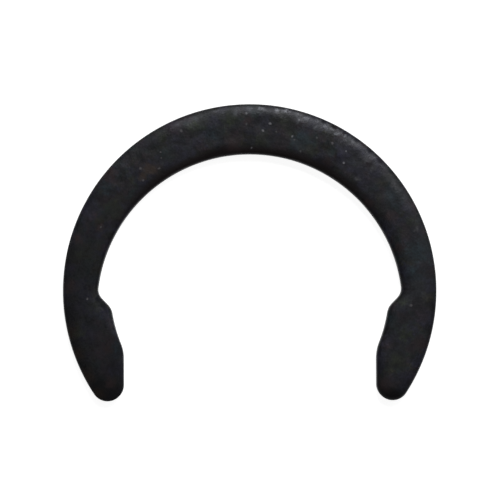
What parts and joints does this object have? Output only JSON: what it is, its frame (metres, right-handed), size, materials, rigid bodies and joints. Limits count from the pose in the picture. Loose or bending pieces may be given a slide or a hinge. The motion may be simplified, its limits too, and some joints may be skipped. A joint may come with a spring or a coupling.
{
  "type": "retaining ring",
  "caption": "Open crescent-shaped retaining ring stamped from dark-finished spring steel, pushed sideways into a groove on a shaft to stop what sits beside it.",
  "frame": {"origin": "on the axis of the shaft that the ring sits on, in the plane of the ring's underside", "axes": "+Z along the shaft, from the burr side towards the rolled side; +Y towards the middle of the bow, so the mouth faces -Y; +X towards the right-hand lug"},
  "size_m": [0.032, 0.0254, 0.0015],
  "materials": {
    "black_phosphate": "satin"
  },
  "bodies": {
    "root": {"ring": "black_phosphate"}
  },
  "joints": []
}
